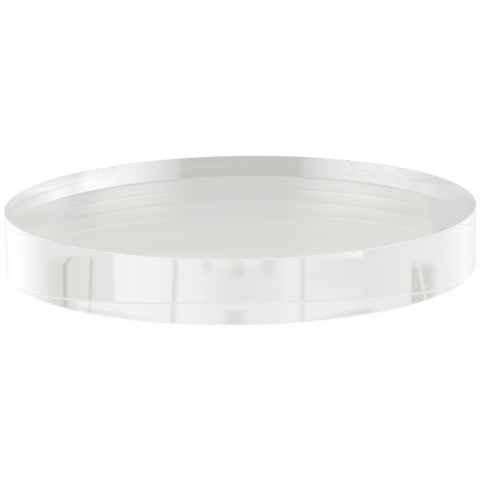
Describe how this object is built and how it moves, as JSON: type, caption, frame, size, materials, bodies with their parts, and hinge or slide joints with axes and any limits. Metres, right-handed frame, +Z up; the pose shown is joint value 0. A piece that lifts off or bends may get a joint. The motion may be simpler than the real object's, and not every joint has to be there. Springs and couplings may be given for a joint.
{
  "type": "round display base",
  "caption": "Thick round display base: a solid disc of clear polished acrylic with a flat top, a flat underside and a polished rim, on which a model or figure stands.",
  "frame": {"origin": "centre of the underside, on the plane the disc rests on", "axes": "+Z up along the disc's axis, out of the top face; the disc is round, so +X and +Y are any two directions square to it"},
  "size_m": [0.1524, 0.1524, 0.02],
  "materials": {
    "clear_acrylic": "polished"
  },
  "bodies": {
    "root": {"display_disc": "clear_acrylic"}
  },
  "joints": []
}
